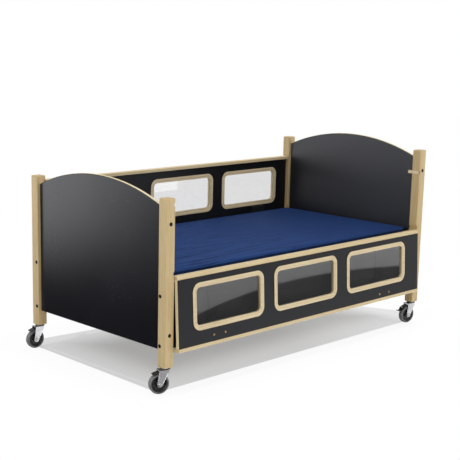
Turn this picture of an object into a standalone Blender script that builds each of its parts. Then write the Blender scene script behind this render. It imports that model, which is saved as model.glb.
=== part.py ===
"""Safety bed: four posts on casters, arched end panels and windowed sides.

X runs from the foot end to the head end, Y from the front to the back and Z
up, in metres.  The front panel is lowered and leans on tapered battens, and
the back panel stands raised on its pads.  The origin is the middle of the
whole outline, on the floor.
"""
import math

import bmesh
import bpy
from mathutils import Matrix, Vector

# Clearance between neighbours that seat on each other.
GAP = 0.0003

# Frame
BED_LENGTH = 2.050
BED_WIDTH = 1.058
POST_SIZE = 0.054
POST_ROUND = 0.004
FOOT_POST_TOP = 0.936
HEAD_POST_TOP = 1.035
RAIL_THICKNESS = 0.020
RAIL_HEIGHT = 0.324
RAIL_BOTTOM = 0.210
RAIL_INSET = 0.005

# Arched end panels
END_PANEL_THICKNESS = 0.018
END_PANEL_BOTTOM = 0.209
ARCH_RISE = 0.097
ARCH_BELOW_POST_TOP = 0.040
ARCH_STEPS = 20
ARCH_ROUND = 0.004

# Dados across the inner face of each post, and the keeper in an upper one
DADO_HEIGHT = 0.0176
DADO_DEPTH = 0.008
UPPER_DADO_Z = 0.905
LOWER_DADO_Z = 0.580
KEEPER_SETBACK = 0.0125
KEEPER_REACH = 0.026

# Counterbored holes for the bolts through the posts
BOLT_HOLE_RADIUS = 0.0072
BOLT_HOLE_DEPTH = 0.007
BOLT_SIDES = 12
RAIL_BOLT_LOW = 0.023
RAIL_BOLT_HIGH = 0.264
END_BOLT_LOW = 0.078
END_BOLT_HIGH = 0.079

# Side panels: board between two caps
BOARD_THICKNESS = 0.018
BOARD_HEIGHT = 0.331
CAP_THICKNESS = 0.018
CAP_DEPTH = 0.038
CAP_EDGE = 0.0015
PANEL_END_CLEARANCE = 0.004
PANEL_LEAN = math.radians(3.3)
LOWERED_TOP_Z = 0.568
LOWERED_PROUD = 0.013
RAISED_RECESS = 0.0145

# Windows, laid out from the panel's first end
WINDOW_MARGIN = 0.097
WINDOW_WIDTH_1 = 0.495
WINDOW_GAP_1 = 0.079
WINDOW_WIDTH_2 = 0.506
FRONT_WINDOW_GAP_2 = 0.087
BACK_WINDOW_GAP_2 = 0.150
WINDOW_LAST_MARGIN = 0.132
WINDOW_HEIGHT = 0.233
FRONT_WINDOW_DROP = 0.029
BACK_WINDOW_DROP = 0.045
FRAME_FACE = 0.024
FRAME_PROUD = 0.003
FRAME_LAP = 0.012
FRAME_CORNER = 0.047
FRAME_STEP = 0.006
FRAME_STEP_DROP = 0.0022
CORNER_STEPS = 5
PANE_THICKNESS = 0.004
PANE_LAP = 0.006

# Battens that guide and carry a lowered panel, at two places along it
BATTEN_WIDTH = 0.060
BATTEN_AT = (0.275, 1.610)
SHOE_LENGTH = 0.120
SHOE_HEIGHT = 0.0475
SHOE_RUN_CLEARANCE = 0.0008
TOE_THICKNESS = 0.004
TOE_REACH = 0.022
SEAT_PAD_HEIGHT = 0.010

# Deck and mattress
DECK_THICKNESS = 0.018
DECK_CLEARANCE = 0.0015
SUPPORT_SIZE = 0.030
BEARER_HEIGHT = 0.060
BEARER_THICKNESS = 0.022
MATTRESS_END_GAP = 0.006
MATTRESS_SIDE_GAP = 0.005
MATTRESS_HEIGHT = 0.150
MATTRESS_BOTTOM = 0.435
MATTRESS_CORNER = 0.045
MATTRESS_CROWN = 0.005

# Casters
CASTER_HEIGHT = 0.128
WHEEL_RADIUS = 0.050
WHEEL_WIDTH = 0.028
TREAD_ROUND = 0.006
TYRE_THICKNESS = 0.013
HUB_WIDTH = 0.024
HUB_BOSS_RADIUS = 0.012
HUB_DISH = 0.004
TRAIL = 0.032
AXLE_RADIUS = 0.004
AXLE_HEAD_RADIUS = 0.007
AXLE_HEAD = 0.003
FORK_INNER_WIDTH = 0.036
FORK_SHEET = 0.0025
FORK_TOP = 0.1190
FORK_FRONT = 0.013
FORK_REAR = 0.037
FORK_SHOULDER = 0.010
FORK_END_RADIUS = 0.014
RACE_RADIUS = 0.023
STEM_RADIUS = 0.006
STEM_LENGTH = 0.040
WHEEL_STEPS = 24
TURNED_STEPS = 16
CASTER_HEADINGS = {
    "foot_front": math.radians(157.0),
    "foot_back": math.radians(174.0),
    "head_front": math.radians(169.0),
    "head_back": math.radians(165.0),
}

# Guard over each wheel, and the brake lever on the head end's casters
GUARD_CLEARANCE = 0.0035
GUARD_THICKNESS = 0.004
GUARD_START = math.radians(104.0)
GUARD_END = math.radians(58.0)
LEVER_PIVOT = math.radians(49.0)
LEVER_TAB = math.radians(27.0)
LEVER_REACH = 0.015
LEVER_TRAVEL = math.radians(6.0)
EAR_THICKNESS = 0.003
EAR_RADIUS = 0.0045
EAR_ROLL = 0.001

# Sizes that follow from the ones above
POST_X = BED_LENGTH / 2 - POST_SIZE / 2
POST_Y = BED_WIDTH / 2 - POST_SIZE / 2
INNER_X = BED_LENGTH / 2 - POST_SIZE
INNER_Y = BED_WIDTH / 2 - POST_SIZE
RAIL_TOP = RAIL_BOTTOM + RAIL_HEIGHT
RAIL_INNER_Y = INNER_Y + RAIL_INSET
RAIL_OUTER_Y = RAIL_INNER_Y + RAIL_THICKNESS
PANEL_LENGTH = 2 * (INNER_X - PANEL_END_CLEARANCE)
PANEL_HEIGHT = BOARD_HEIGHT + 2 * CAP_THICKNESS
RAISED_TOP_Z = RAIL_TOP + SEAT_PAD_HEIGHT + GAP + PANEL_HEIGHT
LOWERED_FACE_Y = BED_WIDTH / 2 + LOWERED_PROUD
RAISED_FACE_Y = BED_WIDTH / 2 - RAISED_RECESS
SHOE_BACK = CAP_DEPTH + SHOE_RUN_CLEARANCE
BATTEN_FACE = SHOE_BACK + GAP
TOE_TOP = (LOWERED_TOP_Z - PANEL_HEIGHT * math.cos(PANEL_LEAN)
           - CAP_DEPTH * math.sin(PANEL_LEAN) - GAP)
MATTRESS_LENGTH = 2 * (INNER_X - MATTRESS_END_GAP)
MATTRESS_WIDTH = 2 * (RAIL_INNER_Y - MATTRESS_SIDE_GAP)
DECK_TOP = MATTRESS_BOTTOM - GAP
DECK_BOTTOM = DECK_TOP - DECK_THICKNESS
GUARD_INNER = WHEEL_RADIUS + GUARD_CLEARANCE
GUARD_OUTER = GUARD_INNER + GUARD_THICKNESS
GUARD_MIDDLE = (GUARD_INNER + GUARD_OUTER) / 2
POSTS = {
    "foot_front": (-1, -1, FOOT_POST_TOP),
    "foot_back": (-1, 1, FOOT_POST_TOP),
    "head_front": (1, -1, HEAD_POST_TOP),
    "head_back": (1, 1, HEAD_POST_TOP),
}


# Scene and materials

def clear_scene():
    """Remove the objects of the open file, and nothing else."""
    for obj in list(bpy.data.objects):
        bpy.data.objects.remove(obj, do_unlink=True)


def new_collection(name):
    collection = bpy.data.collections.new(name)
    bpy.context.scene.collection.children.link(collection)
    return collection


def material(name, colour, roughness, metallic=0.0):
    mat = bpy.data.materials.new(name)
    mat.use_nodes = True
    shader = mat.node_tree.nodes["Principled BSDF"]
    shader.inputs["Base Color"].default_value = (*colour, 1.0)
    shader.inputs["Roughness"].default_value = roughness
    shader.inputs["Metallic"].default_value = metallic
    mat.diffuse_color = (*colour, 1.0)
    return mat


def timber(name):
    return material(name, (0.56, 0.42, 0.22), 0.50)


def ply_laminate(name):
    return material(name, (0.024, 0.024, 0.026), 0.30)


def black_plastic(name):
    return material(name, (0.020, 0.020, 0.021), 0.45)


def plated_steel(name):
    return material(name, (0.62, 0.62, 0.63), 0.30, 1.0)


def grey_rubber(name):
    return material(name, (0.16, 0.16, 0.16), 0.70)


# Mesh helpers

def solid(bm):
    """Turn a bmesh into a mesh whose faces all point outwards."""
    bmesh.ops.recalc_face_normals(bm, faces=bm.faces)
    mesh = bpy.data.meshes.new("solid")
    bm.to_mesh(mesh)
    bm.free()
    return mesh


def evaluated(data, modifiers=()):
    """Read a mesh or curve through modifiers as one welded mesh."""
    holder = bpy.data.objects.new("holder", data)
    bpy.context.scene.collection.objects.link(holder)
    for kind, settings in modifiers:
        modifier = holder.modifiers.new(kind.title(), kind)
        for key, value in settings.items():
            setattr(modifier, key, value)
    bpy.context.view_layer.update()
    depsgraph = bpy.context.evaluated_depsgraph_get()
    mesh = bpy.data.meshes.new_from_object(holder.evaluated_get(depsgraph))
    bpy.data.objects.remove(holder, do_unlink=True)
    bm = bmesh.new()
    bm.from_mesh(mesh)
    bmesh.ops.remove_doubles(bm, verts=bm.verts, dist=1e-6)
    return solid(bm)


def box_mesh(low, high):
    """A box between two corners."""
    low, high = Vector(low), Vector(high)
    bm = bmesh.new()
    size = high - low
    matrix = Matrix.Translation((low + high) / 2) @ Matrix.Diagonal((*size, 1.0))
    bmesh.ops.create_cube(bm, size=1.0, matrix=matrix)
    return solid(bm)


def plate_mesh(outlines, thickness):
    """A flat plate with the first outline as its edge and the rest as holes."""
    curve = bpy.data.curves.new("outline", "CURVE")
    curve.dimensions = "2D"
    curve.fill_mode = "BOTH"
    curve.extrude = thickness / 2
    for points in outlines:
        spline = curve.splines.new("POLY")
        spline.points.add(len(points) - 1)
        for point, (x, y) in zip(spline.points, points):
            point.co = (x, y, 0.0, 1.0)
        spline.use_cyclic_u = True
    return evaluated(curve)


def turned_mesh(profile, steps, ring=False):
    """Turn a profile of (radius, height) points, given from top to bottom."""
    mesh = bpy.data.meshes.new("profile")
    points = [(radius, 0.0, height) for radius, height in profile]
    edges = [(i, i + 1) for i in range(len(points) - 1)]
    if ring:
        edges.append((len(points) - 1, 0))
    mesh.from_pydata(points, edges, [])
    screw = {"axis": "Z", "steps": steps, "render_steps": steps,
             "use_merge_vertices": True, "merge_threshold": 0.00005}
    return evaluated(mesh, [("SCREW", screw)])


def boolean_mesh(mesh, tool, operation):
    """Cut or join two meshes with an exact Boolean."""
    holder = bpy.data.objects.new("tool", tool)
    cutters.objects.link(holder)
    settings = {"operation": operation, "solver": "EXACT", "object": holder}
    result = evaluated(mesh, [("BOOLEAN", settings)])
    bpy.data.objects.remove(holder, do_unlink=True)
    return result


def group_mesh(placed):
    """Several separate solids, each a mesh and its matrix, in one mesh."""
    bm = bmesh.new()
    for mesh, matrix in placed:
        copy = mesh.copy()
        copy.transform(matrix)
        bm.from_mesh(copy)
        bpy.data.meshes.remove(copy)
    return solid(bm)


def basis(x_axis, z_axis, place):
    """A matrix with the given local X and Z directions and place."""
    x_axis = Vector(x_axis).normalized()
    z_axis = Vector(z_axis).normalized()
    y_axis = z_axis.cross(x_axis)
    turn = Matrix((x_axis, y_axis, z_axis)).transposed().to_4x4()
    return Matrix.Translation(place) @ turn


def flats(radius, steps):
    """The corner radius of a polygon whose flats lie at the given radius."""
    return radius / math.cos(math.pi / steps)


def arc(centre, radius, start, end, steps):
    """Points along an arc, both ends included."""
    angles = [start + (end - start) * i / steps for i in range(steps + 1)]
    return [(centre[0] + radius * math.cos(a), centre[1] + radius * math.sin(a))
            for a in angles]


def rounded_rectangle(centre, width, height, radius):
    """Outline of a rectangle with rounded corners."""
    points = []
    for quarter in range(4):
        sx = 1 if quarter in (0, 3) else -1
        sy = 1 if quarter in (0, 1) else -1
        corner = (centre[0] + sx * (width / 2 - radius),
                  centre[1] + sy * (height / 2 - radius))
        start = quarter * math.pi / 2
        points += arc(corner, radius, start, start + math.pi / 2, CORNER_STEPS)
    return points


def loft(loops, closed):
    """Bridge equal loops of points, closed on itself or with flat ends."""
    bm = bmesh.new()
    rows = [[bm.verts.new(point) for point in loop] for loop in loops]
    pairs = list(zip(rows, rows[1:]))
    if closed:
        pairs.append((rows[-1], rows[0]))
    else:
        bm.faces.new(rows[0])
        bm.faces.new(rows[-1])
    for first, second in pairs:
        count = len(first)
        for i in range(count):
            j = (i + 1) % count
            bm.faces.new((first[i], first[j], second[j], second[i]))
    return solid(bm)


def add_part(name, mesh, mat, parent, place=(0.0, 0.0, 0.0)):
    """Put a mesh into the bed's collection under its parent."""
    mesh = mesh.copy()
    mesh.name = name
    mesh.materials.clear()
    mesh.materials.append(mat)
    obj = bpy.data.objects.new(name, mesh)
    parts.objects.link(obj)
    obj.parent = parent
    obj.location = place
    return obj


def add_empty(name, parent=None, matrix=None):
    """An empty that carries a moving group at its joint."""
    empty = bpy.data.objects.new(name, None)
    empty.empty_display_size = 0.05
    parts.objects.link(empty)
    empty.parent = parent
    if matrix is not None:
        empty.matrix_local = matrix
    return empty


def bevel(obj, width, segments=1):
    """Round the edges of a part."""
    modifier = obj.modifiers.new("Edge", "BEVEL")
    modifier.width = width
    modifier.segments = segments
    modifier.limit_method = "ANGLE"
    return modifier


def cut_with(obj, cutter):
    """Cut a part with a cutter that stays in the cutters' collection."""
    modifier = obj.modifiers.new(cutter.name, "BOOLEAN")
    modifier.operation = "DIFFERENCE"
    modifier.solver = "EXACT"
    modifier.object = cutter


def add_cutter(name, mesh):
    cutter = bpy.data.objects.new(name, mesh)
    cutters.objects.link(cutter)
    cutter.parent = bed
    cutter.hide_render = True
    cutter.display_type = "WIRE"
    return cutter


def smooth(obj, angle=math.radians(35.0)):
    """Shade a round part smooth, with its sharp edges kept."""
    obj.data.shade_smooth()
    obj.data.set_sharp_from_angle(angle=angle)


# Posts, rails and end panels

def springing(top):
    """Height at which an end panel's arch meets its posts."""
    return top - ARCH_BELOW_POST_TOP


def bolt_holes_of(sx, sy, top):
    """Counterbores of one post: the rail's bolts along X, the panel's along Y."""
    radius = flats(BOLT_HOLE_RADIUS, BOLT_SIDES)
    hole = turned_mesh([(0.0, POST_ROUND), (radius, POST_ROUND),
                        (radius, -BOLT_HOLE_DEPTH), (0.0, -BOLT_HOLE_DEPTH)], BOLT_SIDES)
    rail_y = sy * (RAIL_INNER_Y + RAIL_THICKNESS / 2)
    placed = []
    for z in (RAIL_BOTTOM + RAIL_BOLT_LOW, RAIL_BOTTOM + RAIL_BOLT_HIGH):
        placed.append((hole, basis((0, 0, 1), (sx, 0, 0), (sx * BED_LENGTH / 2, rail_y, z))))
    for z in (END_PANEL_BOTTOM + END_BOLT_LOW, springing(top) - END_BOLT_HIGH):
        placed.append((hole, basis((0, 0, 1), (0, sy, 0), (sx * POST_X, sy * BED_WIDTH / 2, z))))
    return placed


def dado_box(sx, sy, height, spill):
    """A dado's box, which spills past the faces that the dado is open to."""
    xs = sorted((sx * (INNER_X - spill), sx * (INNER_X + DADO_DEPTH)))
    ys = sorted((sy * (BED_WIDTH / 2 + spill), sy * (INNER_Y - spill)))
    return box_mesh((xs[0], ys[0], height - DADO_HEIGHT / 2),
                    (xs[1], ys[1], height + DADO_HEIGHT / 2))


def build_posts():
    stem_hole_radius = flats(STEM_RADIUS + GAP, TURNED_STEPS)
    stem_hole = turned_mesh([(0.0, STEM_LENGTH + GAP), (stem_hole_radius, STEM_LENGTH + GAP),
                             (stem_hole_radius, -POST_ROUND), (0.0, -POST_ROUND)],
                            TURNED_STEPS)
    for name, (sx, sy, top) in POSTS.items():
        foot = Vector((sx * POST_X, sy * POST_Y, CASTER_HEIGHT))
        half = POST_SIZE / 2
        post = add_part(name + "_post",
                        box_mesh(foot - Vector((half, half, 0.0)),
                                 foot + Vector((half, half, top - CASTER_HEIGHT))),
                        timber(name + "_post_wood"), bed)
        bevel(post, POST_ROUND, 2)
        cuts = [(stem_hole, Matrix.Translation(foot))]
        cuts += bolt_holes_of(sx, sy, top)
        cuts += [(dado_box(sx, sy, height, POST_ROUND), Matrix.Identity(4))
                 for height in (UPPER_DADO_Z, LOWER_DADO_Z)]
        cut_with(post, add_cutter(name + "_post_cuts", group_mesh(cuts)))


def build_keepers():
    """The block that fills the back of each front post's upper dado."""
    for name in ("foot_front", "head_front"):
        sx, sy, _ = POSTS[name]
        xs = sorted((sx * INNER_X, sx * (INNER_X + DADO_DEPTH - GAP)))
        ys = sorted((sy * (BED_WIDTH / 2 - KEEPER_SETBACK), sy * (INNER_Y - KEEPER_REACH)))
        half = DADO_HEIGHT / 2 - GAP
        add_part(name + "_keeper", box_mesh((xs[0], ys[0], UPPER_DADO_Z - half),
                                            (xs[1], ys[1], UPPER_DADO_Z + half)),
                 timber(name + "_keeper_wood"), bed)


def build_rails():
    """Rails between the posts, each with two raised pads for its panel."""
    end = INNER_X - GAP
    for name, sy in (("front_rail", -1), ("back_rail", 1)):
        outline = [(-end, RAIL_BOTTOM), (end, RAIL_BOTTOM), (end, RAIL_TOP)]
        for x in sorted(batten_xs(sy), reverse=True):
            half = BATTEN_WIDTH / 2
            pad_top = RAIL_TOP + SEAT_PAD_HEIGHT
            outline += [(x + half, RAIL_TOP), (x + half, pad_top),
                        (x - half, pad_top), (x - half, RAIL_TOP)]
        outline.append((-end, RAIL_TOP))
        rail = plate_mesh([outline], RAIL_THICKNESS)
        # The outline's X stays and its Y becomes Z.
        middle = sy * (RAIL_INNER_Y + RAIL_THICKNESS / 2)
        rail.transform(basis((1, 0, 0), (0, -1, 0), (0, middle, 0)))
        add_part(name, rail, ply_laminate(name + "_laminate"), bed)


def end_panel_outline(top, inset):
    """Outline of an end panel, its arch lowered by an inset."""
    half = INNER_Y - GAP
    radius = (half ** 2 + ARCH_RISE ** 2) / (2 * ARCH_RISE)
    centre = (0.0, springing(top) + ARCH_RISE - radius)
    sweep = math.asin(half / (radius - inset))
    return [(-half, END_PANEL_BOTTOM), (half, END_PANEL_BOTTOM)] + arc(
        centre, radius - inset, math.pi / 2 - sweep, math.pi / 2 + sweep, ARCH_STEPS)


def build_end_panels():
    """Panels whose arches are rounded over on both faces."""
    half = END_PANEL_THICKNESS / 2
    shoulder = ARCH_ROUND * (1 - math.sqrt(0.5))
    levels = [(half, ARCH_ROUND), (half - shoulder, shoulder), (half - ARCH_ROUND, 0.0)]
    levels += [(-depth, inset) for depth, inset in reversed(levels)]
    for name, sx, top in (("foot_panel", -1, FOOT_POST_TOP),
                          ("head_panel", 1, HEAD_POST_TOP)):
        loops = [[(x, y, depth) for x, y in end_panel_outline(top, inset)]
                 for depth, inset in levels]
        mesh = loft(loops, False)
        # The outline's X becomes Y, and its Y becomes Z.
        mesh.transform(basis((0, 1, 0), (1, 0, 0), (sx * POST_X, 0, 0)))
        add_part(name, mesh, ply_laminate(name + "_laminate"), bed)


# Side panels, drawn with X along the panel, Y up from its top edge and Z out

def window_layout(drop, last_gap):
    """Centre and width of each window frame's outer edge."""
    second_start = WINDOW_MARGIN + WINDOW_WIDTH_1 + WINDOW_GAP_1
    last_start = second_start + WINDOW_WIDTH_2 + last_gap
    spans = [(WINDOW_MARGIN, WINDOW_WIDTH_1), (second_start, WINDOW_WIDTH_2),
             (last_start, PANEL_LENGTH - WINDOW_LAST_MARGIN - last_start)]
    middle = -(CAP_THICKNESS + drop + WINDOW_HEIGHT / 2)
    return [((start + width / 2, middle), width) for start, width in spans]


def window_outline(centre, width, lap):
    """Outline round a window, a lap outside its visible opening."""
    grow = 2 * (lap - FRAME_FACE)
    return rounded_rectangle(centre, width + grow, WINDOW_HEIGHT + grow,
                             FRAME_CORNER + grow / 2)


def frame_mesh(centre, width):
    """Window frame: a ring that grips the board outside and the pane inside."""
    back = -BOARD_THICKNESS
    pane_front = (PANE_THICKNESS - BOARD_THICKNESS) / 2
    pane_back = pane_front - PANE_THICKNESS
    step = FRAME_PROUD - FRAME_STEP_DROP
    profile = [(0.0, step), (FRAME_STEP, step), (FRAME_STEP, FRAME_PROUD),
               (FRAME_FACE - FRAME_PROUD / 2, FRAME_PROUD),
               (FRAME_FACE, FRAME_PROUD / 2), (FRAME_FACE, GAP),
               (FRAME_LAP, GAP), (FRAME_LAP, back - GAP),
               (FRAME_FACE, back - GAP), (FRAME_FACE, back - FRAME_PROUD / 2),
               (FRAME_FACE - FRAME_PROUD / 2, back - FRAME_PROUD),
               (FRAME_STEP, back - FRAME_PROUD), (FRAME_STEP, back - step), (0.0, back - step),
               (0.0, pane_back - GAP), (PANE_LAP, pane_back - GAP),
               (PANE_LAP, pane_front + GAP), (0.0, pane_front + GAP)]
    loops = [[(x, y, depth) for x, y in window_outline(centre, width, lap)]
             for lap, depth in profile]
    return loft(loops, True)


def cap_mesh(top, shoe_top=None):
    """A cap over the board's edge, and the runner shoes that stand on one."""
    end = PANEL_LENGTH
    edge = {"width": CAP_EDGE, "segments": 1, "limit_method": "ANGLE"}
    cap = evaluated(box_mesh((0.0, top - CAP_THICKNESS, -CAP_DEPTH), (end, top, 0.0)),
                    [("BEVEL", edge)])
    if shoe_top is None:
        return cap
    for at in BATTEN_AT:
        # A shoe starts inside the cap, so that the two join.
        shoe = box_mesh((at - SHOE_LENGTH / 2, top - CAP_THICKNESS / 2, -SHOE_BACK),
                        (at + SHOE_LENGTH / 2, shoe_top, -BOARD_THICKNESS - GAP))
        cap = boolean_mesh(cap, shoe, "UNION")
    return cap


def build_side_panel(side, carrier, drop, last_gap):
    """Board, caps with their shoes, and windows of one side panel."""
    windows = window_layout(drop, last_gap)
    lower_cap_top = CAP_THICKNESS - PANEL_HEIGHT
    board_top, board_bottom = -CAP_THICKNESS - GAP, lower_cap_top + GAP
    edge = [(0.0, board_bottom), (PANEL_LENGTH, board_bottom),
            (PANEL_LENGTH, board_top), (0.0, board_top)]
    openings = [window_outline(centre, width, FRAME_LAP + GAP) for centre, width in windows]
    mid_board = Matrix.Translation((0, 0, -BOARD_THICKNESS / 2))
    board = plate_mesh([edge] + openings, BOARD_THICKNESS)
    board.transform(mid_board)
    add_part(side + "_panel_board", board, ply_laminate(side + "_board_laminate"), carrier)

    name = side + "_panel_top_cap"
    add_part(name, cap_mesh(0.0), timber(name + "_wood"), carrier)
    name = side + "_panel_bottom_cap"
    add_part(name, cap_mesh(lower_cap_top, lower_cap_top + SHOE_HEIGHT),
             timber(name + "_wood"), carrier)

    for number, (centre, width) in enumerate(windows, 1):
        name = f"{side}_window_frame_{number}"
        add_part(name, frame_mesh(centre, width), timber(name + "_wood"), carrier)
        pane = plate_mesh([window_outline(centre, width, PANE_LAP - GAP)], PANE_THICKNESS)
        pane.transform(mid_board)
        name = f"{side}_window_pane_{number}"
        add_part(name, pane, material(name + "_clear", (0.75, 0.78, 0.80), 0.05), carrier)


def build_side_panels():
    """The lowered, leaning front panel and the raised back panel."""
    up = Vector((0.0, math.sin(PANEL_LEAN), math.cos(PANEL_LEAN)))
    out = Vector((1.0, 0.0, 0.0)).cross(up)
    front = add_empty("front_panel_lift", bed,
                      basis((1, 0, 0), out, (-PANEL_LENGTH / 2, -LOWERED_FACE_Y, LOWERED_TOP_Z)))
    build_side_panel("front", front, FRONT_WINDOW_DROP, FRONT_WINDOW_GAP_2)
    back = add_empty("back_panel_release", bed,
                     basis((-1, 0, 0), (0, 1, 0), (PANEL_LENGTH / 2, RAISED_FACE_Y, RAISED_TOP_Z)))
    build_side_panel("back", back, BACK_WINDOW_DROP, BACK_WINDOW_GAP_2)


def batten_xs(sy):
    """Where the battens stand along the bed, on the front or the back."""
    return [-sy * (PANEL_LENGTH / 2 - at) if sy > 0 else at - PANEL_LENGTH / 2
            for at in BATTEN_AT]


def build_battens():
    """Tapered battens that a lowered panel slides down, each with a toe."""
    slope = math.tan(PANEL_LEAN)
    face_top_y = LOWERED_FACE_Y - BATTEN_FACE * math.cos(PANEL_LEAN)
    face_top_z = LOWERED_TOP_Z - BATTEN_FACE * math.sin(PANEL_LEAN)

    def face_y(z):
        """Distance of the sliding face from the middle of the bed."""
        return face_top_y + (face_top_z - z) * slope

    back = RAIL_OUTER_Y + GAP
    toe_end = face_y(TOE_TOP) + TOE_REACH
    toe_bottom = TOE_TOP - TOE_THICKNESS
    outline = [(back, toe_bottom), (toe_end, toe_bottom), (toe_end, TOE_TOP),
               (face_y(TOE_TOP), TOE_TOP), (face_y(RAIL_TOP), RAIL_TOP), (back, RAIL_TOP)]
    wedge = plate_mesh([outline], BATTEN_WIDTH)
    for side, sy in (("front", -1), ("back", 1)):
        for end, x in zip(("foot", "head"), sorted(batten_xs(sy))):
            name = f"{side}_{end}_batten"
            # The outline's X becomes the way out of the bed, and its Y becomes Z.
            batten = add_part(name, wedge, black_plastic(name + "_plastic"), bed)
            batten.data.transform(basis((0, sy, 0), (sy, 0, 0), (x, 0, 0)))


# Deck and mattress

def build_deck():
    half_x = INNER_X - DECK_CLEARANCE
    half_y = RAIL_INNER_Y - DECK_CLEARANCE
    add_part("deck_board", box_mesh((-half_x, -half_y, DECK_BOTTOM), (half_x, half_y, DECK_TOP)),
             timber("deck_ply"), bed)
    top = DECK_BOTTOM - GAP
    outer = RAIL_INNER_Y - GAP
    inner = outer - SUPPORT_SIZE
    for side, y in (("front", -outer), ("back", inner)):
        name = side + "_deck_ledger"
        add_part(name, box_mesh((-half_x, y, top - SUPPORT_SIZE),
                                (half_x, y + SUPPORT_SIZE, top)), timber(name + "_wood"), bed)
    reach = inner - GAP
    half = BEARER_THICKNESS / 2
    add_part("deck_bearer", box_mesh((-half, -reach, top - BEARER_HEIGHT), (half, reach, top)),
             timber("deck_bearer_wood"), bed)


def build_mattress():
    """A crowned mattress, drawn in round its sides between two piped edges."""
    edge_height = MATTRESS_HEIGHT - MATTRESS_CROWN
    half_width = MATTRESS_WIDTH / 2
    levels = [(0.020, 0.0), (0.005, 0.003), (0.0, 0.012), (0.005, 0.030),
              (0.007, edge_height / 2), (0.005, edge_height - 0.030),
              (0.0, edge_height - 0.012), (0.005, edge_height - 0.003), (0.020, edge_height)]
    for share in (0.25, 0.55, 0.95):
        levels.append((0.020 + (half_width - 0.020) * share,
                       edge_height + MATTRESS_CROWN * math.sin(share * math.pi / 2)))
    loops = []
    for inset, height in levels:
        outline = rounded_rectangle((0.0, 0.0), MATTRESS_LENGTH - 2 * inset,
                                    MATTRESS_WIDTH - 2 * inset,
                                    max(MATTRESS_CORNER - inset, 0.010))
        loops.append([(x, y, MATTRESS_BOTTOM + height) for x, y in outline])
    mattress = add_part("mattress", loft(loops, False),
                        material("mattress_vinyl", (0.015, 0.038, 0.125), 0.55), bed)
    smooth(mattress)


# Casters, drawn with X along the trail, Y along the axle and Z up

def upright(mesh):
    """Stand a plate that was drawn in X and Y up in X and Z."""
    mesh.transform(basis((1, 0, 0), (0, -1, 0), (0, 0, 0)))
    return mesh


def tangent_angle(point, centre, radius, side):
    """Angle on a circle where the line from an outside point touches it."""
    dx, dz = point[0] - centre[0], point[1] - centre[1]
    return math.atan2(dz, dx) + side * math.acos(radius / math.hypot(dx, dz))


def fork_mesh():
    """Pressed fork: a tapered outline, hollowed and bored, with race and stem."""
    axle = (TRAIL, WHEEL_RADIUS)
    shoulder = FORK_TOP - FORK_SHOULDER
    start = tangent_angle((-FORK_FRONT, shoulder), axle, FORK_END_RADIUS, 1)
    end = tangent_angle((FORK_REAR, shoulder), axle, FORK_END_RADIUS, -1) + 2 * math.pi
    outline = [(FORK_REAR, shoulder), (FORK_REAR, FORK_TOP), (-FORK_FRONT, FORK_TOP),
               (-FORK_FRONT, shoulder)]
    outline += arc(axle, FORK_END_RADIUS, start, end, 8)
    outer_width = FORK_INNER_WIDTH + 2 * FORK_SHEET
    fork = upright(plate_mesh([outline], outer_width))
    half = FORK_INNER_WIDTH / 2
    hollow = box_mesh((-WHEEL_RADIUS, -half, 0.0),
                      (TRAIL + WHEEL_RADIUS, half, FORK_TOP - FORK_SHEET))
    fork = boolean_mesh(fork, hollow, "DIFFERENCE")
    bore_radius = flats(AXLE_RADIUS + GAP, TURNED_STEPS)
    bore = turned_mesh([(0.0, outer_width), (bore_radius, outer_width),
                        (bore_radius, -outer_width), (0.0, -outer_width)], TURNED_STEPS)
    bore.transform(basis((0, 0, -1), (0, 1, 0), (TRAIL, 0, WHEEL_RADIUS)))
    fork = boolean_mesh(fork, bore, "DIFFERENCE")
    race_top = CASTER_HEIGHT - GAP
    edge = FORK_SHEET / 2
    # The race sinks half way into the fork's sheet, so that the two join.
    race = turned_mesh([(0.0, CASTER_HEIGHT + STEM_LENGTH), (STEM_RADIUS, CASTER_HEIGHT + STEM_LENGTH),
                        (STEM_RADIUS, race_top), (RACE_RADIUS - edge, race_top),
                        (RACE_RADIUS, race_top - edge), (RACE_RADIUS, FORK_TOP + edge),
                        (FORK_FRONT - edge, FORK_TOP - edge), (0.0, FORK_TOP - edge)],
                       TURNED_STEPS)
    return boolean_mesh(fork, race, "UNION")


def polar(radius, angle):
    return (radius * math.cos(angle), radius * math.sin(angle))


def band_outline(first, last):
    """Outline of the band over the wheel between two angles, about the axle."""
    outer = arc((0.0, 0.0), GUARD_OUTER, first, last, 6)
    inner = arc((0.0, 0.0), GUARD_INNER, last, first, 6)
    return outer + inner


def knob_outline(radius):
    """Circle about the brake lever's pivot."""
    return arc(polar(GUARD_MIDDLE, LEVER_PIVOT), radius, 0.0, 2 * math.pi * 11 / 12, 11)


def plain_guard_mesh():
    """Guard band with a rolled end, on a caster that has no brake."""
    width = FORK_INNER_WIDTH - 2 * GAP
    band = upright(plate_mesh([band_outline(GUARD_START, GUARD_END)], width))
    rolled = arc(polar(GUARD_MIDDLE, GUARD_END), GUARD_THICKNESS / 2 + EAR_ROLL, 0.0,
                 2 * math.pi * 11 / 12, 11)
    return boolean_mesh(band, upright(plate_mesh([rolled], width)), "UNION")


def guard_mesh():
    """Guard band with two ears for the brake lever's pivot."""
    width = FORK_INNER_WIDTH - 2 * GAP
    band = upright(plate_mesh([band_outline(GUARD_START, LEVER_PIVOT)], width))
    knob = upright(plate_mesh([knob_outline(EAR_RADIUS)], width))
    guard = boolean_mesh(band, knob, "UNION")
    slot_outline = arc((0.0, 0.0), GUARD_OUTER + 2 * EAR_RADIUS, GUARD_END, LEVER_TAB, 6)
    slot_outline += arc((0.0, 0.0), GUARD_INNER - 2 * EAR_RADIUS, LEVER_TAB, GUARD_END, 6)
    slot = upright(plate_mesh([slot_outline], width - 2 * EAR_THICKNESS))
    return boolean_mesh(guard, slot, "DIFFERENCE")


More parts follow.
